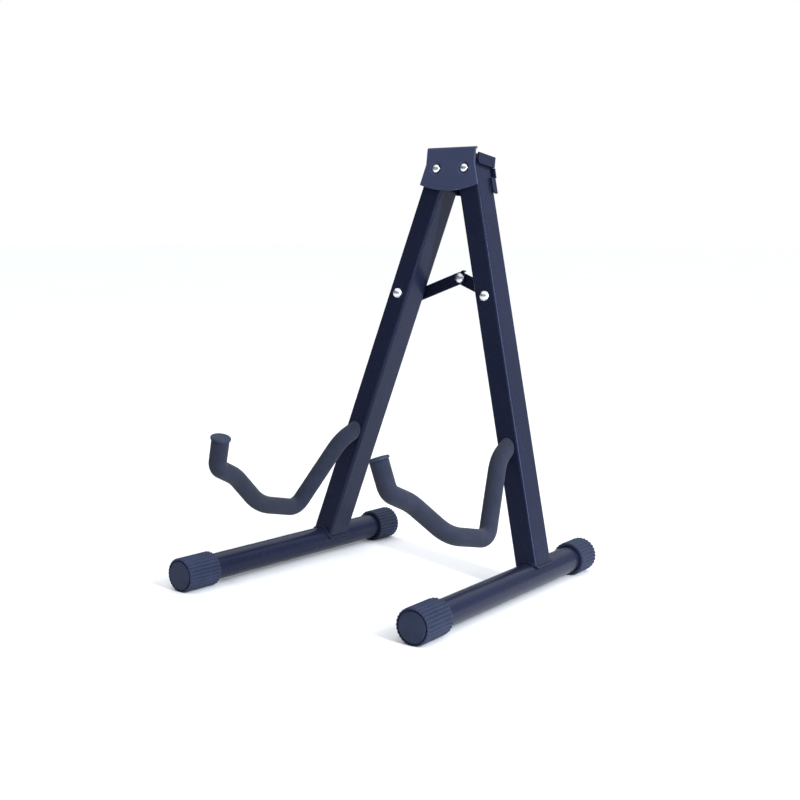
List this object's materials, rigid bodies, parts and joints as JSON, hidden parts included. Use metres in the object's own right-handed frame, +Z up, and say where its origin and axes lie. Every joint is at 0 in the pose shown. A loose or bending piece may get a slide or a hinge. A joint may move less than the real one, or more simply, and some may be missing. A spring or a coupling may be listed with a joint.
{
  "type": "folding guitar stand",
  "caption": "Folding A-frame guitar stand: riveted head plates, legs on splayed base tubes, spreader links and foam-covered cradle arms.",
  "frame": {"origin": "on the floor, under the middle of the open stand's footprint", "axes": "+Z up, -Y towards the guitar player's side (the arms), +X to the right seen from the front"},
  "size_m": [0.3026, 0.305, 0.4182],
  "materials": {
    "paint": "semi-gloss blue-black powder coat",
    "foam": "matt closed-cell foam sleeve",
    "rubber": "matt moulded rubber",
    "zinc": "bright nickel-plated steel",
    "nylon": "moulded black nylon"
  },
  "bodies": {
    "head": {"front_plate": "paint", "back_plate": "paint", "left_pivot_rivet": "zinc", "left_front_washer": "nylon", "left_rear_washer": "nylon", "right_pivot_rivet": "zinc", "right_front_washer": "nylon", "right_rear_washer": "nylon"},
    "left_leg": {"left_leg": "paint", "left_leg_plug": "nylon", "left_arm_rod": "paint", "left_arm_foam": "foam", "left_arm_tip_cap": "rubber", "left_link_rivet": "zinc", "left_base_tube": "paint", "left_front_foot_cap": "rubber", "left_rear_foot_cap": "rubber"},
    "right_leg": {"right_leg": "paint", "right_leg_plug": "nylon", "right_arm_rod": "paint", "right_arm_foam": "foam", "right_arm_tip_cap": "rubber", "right_link_rivet": "zinc", "right_base_tube": "paint", "right_front_foot_cap": "rubber", "right_rear_foot_cap": "rubber"},
    "left_link": {"left_link": "paint", "left_link_washer": "nylon", "knee_rivet": "zinc", "knee_washer": "nylon"},
    "right_link": {"right_link": "paint", "right_link_rivet_tail": "zinc", "right_link_spacer": "nylon"}
  },
  "joints": [
    {"name": "left_leg_fold", "type": "hinge", "parent": "head", "child": "left_leg", "pos_m": [-0.0166, 0.11091, 0.39475], "axis": [0, -0.9893, 0.1461], "range_deg": [0, 16]},
    {"name": "right_leg_fold", "type": "hinge", "parent": "head", "child": "right_leg", "pos_m": [0.0166, 0.11091, 0.39475], "axis": [0, -0.9893, 0.1461], "range_deg": [-16, 0]},
    {"name": "left_link_fold", "type": "hinge", "parent": "left_leg", "child": "left_link", "pos_m": [-0.05232, 0.09271, 0.27151], "axis": [0, -0.9893, 0.1461], "range_deg": [0, 35.9]},
    {"name": "right_link_fold", "type": "hinge", "parent": "left_link", "child": "right_link", "pos_m": [0, 0.09563, 0.29125], "axis": [0, -0.9893, 0.1461], "range_deg": [-103.8, 0]}
  ],
  "couplings": [
    {"joint": "right_leg_fold", "follows": "left_leg_fold", "ratio": -1},
    {"joint": "left_link_fold", "follows": "left_leg_fold", "ratio": 2.2423},
    {"joint": "right_link_fold", "follows": "left_leg_fold", "ratio": -6.4847}
  ]
}
